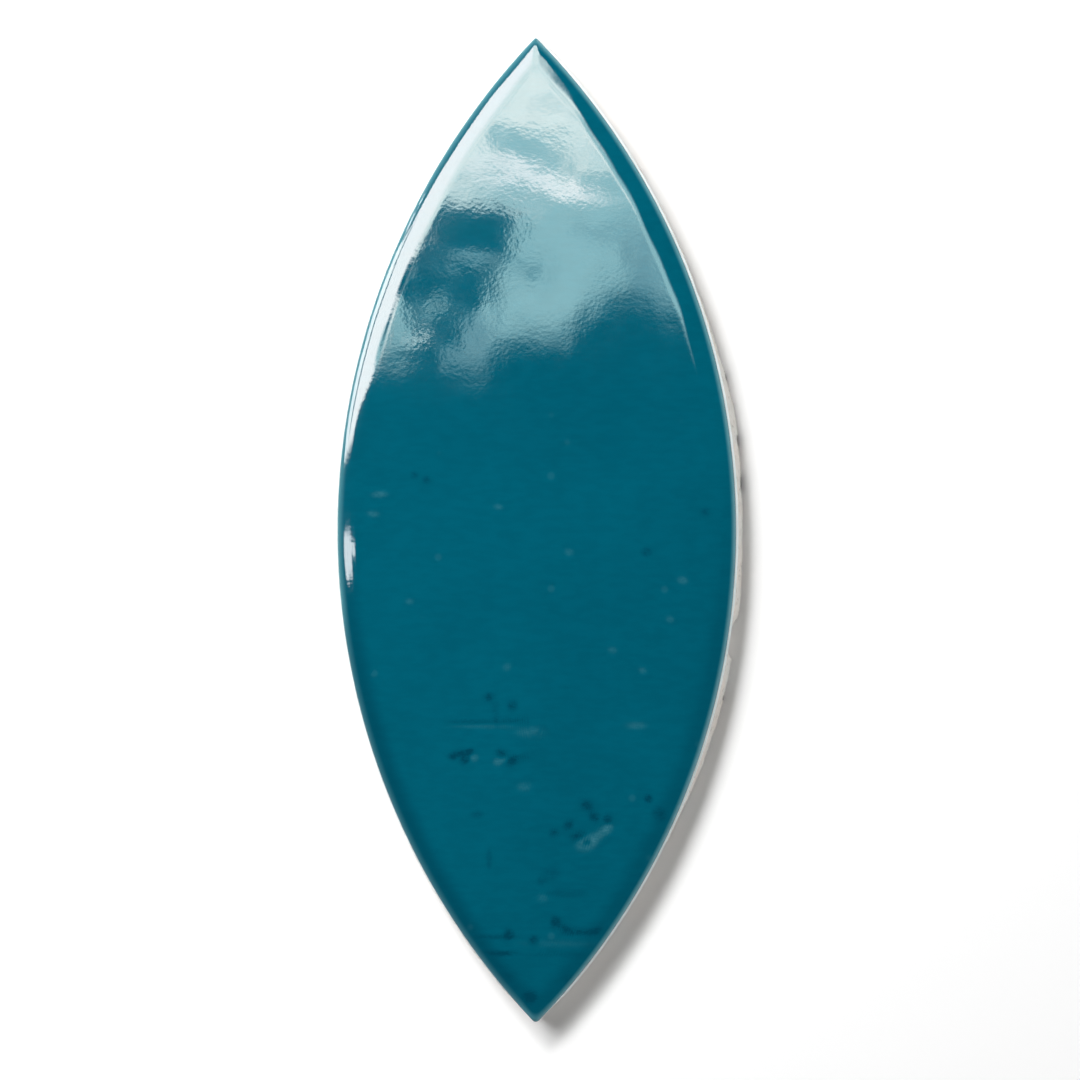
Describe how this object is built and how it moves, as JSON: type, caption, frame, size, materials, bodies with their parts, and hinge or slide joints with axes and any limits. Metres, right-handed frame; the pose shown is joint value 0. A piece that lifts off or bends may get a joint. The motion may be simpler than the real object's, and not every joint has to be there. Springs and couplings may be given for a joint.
{
  "type": "petal porcelain tile",
  "caption": "Pointed-oval petal wall tile in porcelain, with a cushioned teal gloss-glazed face and a keyed back for adhesive.",
  "frame": {"origin": "middle of the back, on the plane that the tile rests on", "axes": "+Y runs from point to point, +X across the tile, +Z out of the glazed face"},
  "size_m": [0.0822, 0.2002, 0.009],
  "materials": {
    "glaze": "teal gloss glaze over unglazed pale porcelain sides and back"
  },
  "bodies": {
    "root": {"petal_tile": "glaze"}
  },
  "joints": []
}
